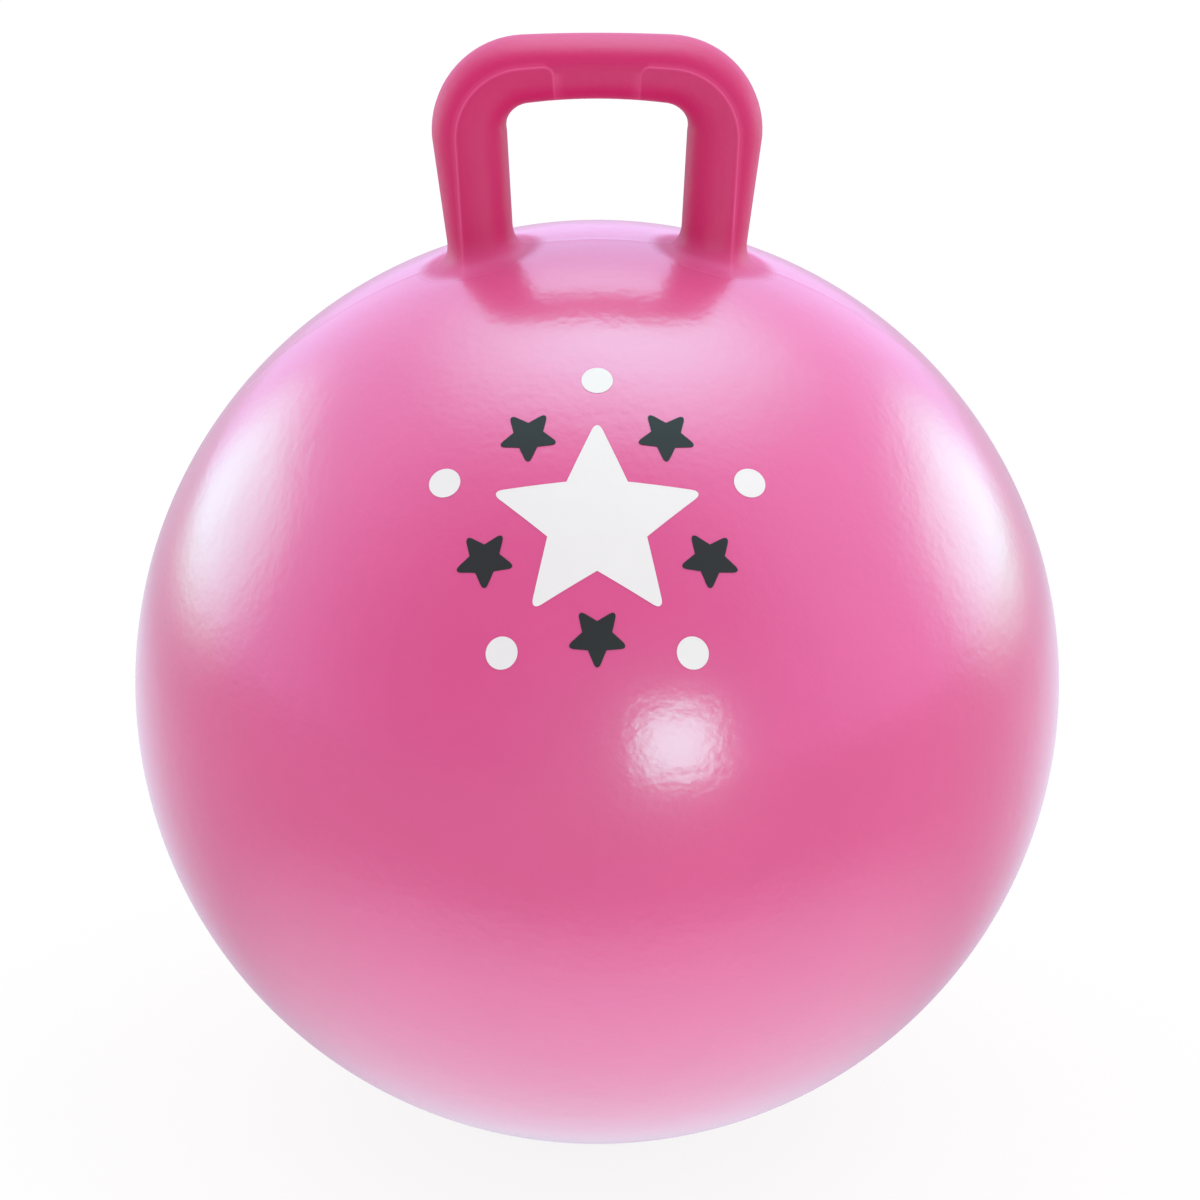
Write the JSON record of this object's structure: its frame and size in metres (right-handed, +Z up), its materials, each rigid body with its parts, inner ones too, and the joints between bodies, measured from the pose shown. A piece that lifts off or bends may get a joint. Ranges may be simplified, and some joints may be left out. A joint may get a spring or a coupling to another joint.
{
  "type": "hopper ball",
  "caption": "Inflated pink hopper ball with a hollow loop handle on its crown, a plugged air valve at the back and a printed star badge in front.",
  "frame": {"origin": "middle of the flat patch that the ball rests on, straight below the middle of the ball", "axes": "+Z up through the handle, -Y out of the print in front, +Y out of the air valve at the back, +X to the right as seen from the front"},
  "size_m": [0.4498, 0.4498, 0.546],
  "materials": {
    "skin": "soft glossy vinyl with a faint orange peel",
    "handle": "soft glossy vinyl, thicker and deeper in colour",
    "valve": "soft satin vinyl",
    "plug": "moulded, satin",
    "ink_white": "flat screen ink",
    "ink_black": "flat screen ink"
  },
  "bodies": {
    "ball": {"ball_skin": "skin", "handle": "handle", "valve_seat": "valve", "print_white": "ink_white", "print_black": "ink_black"},
    "plug": {"valve_plug": "plug"}
  },
  "joints": [
    {"name": "plug_pull", "type": "slide", "parent": "ball", "child": "plug", "axis": [0, 1, 0], "range_m": [0, 0.03]}
  ]
}
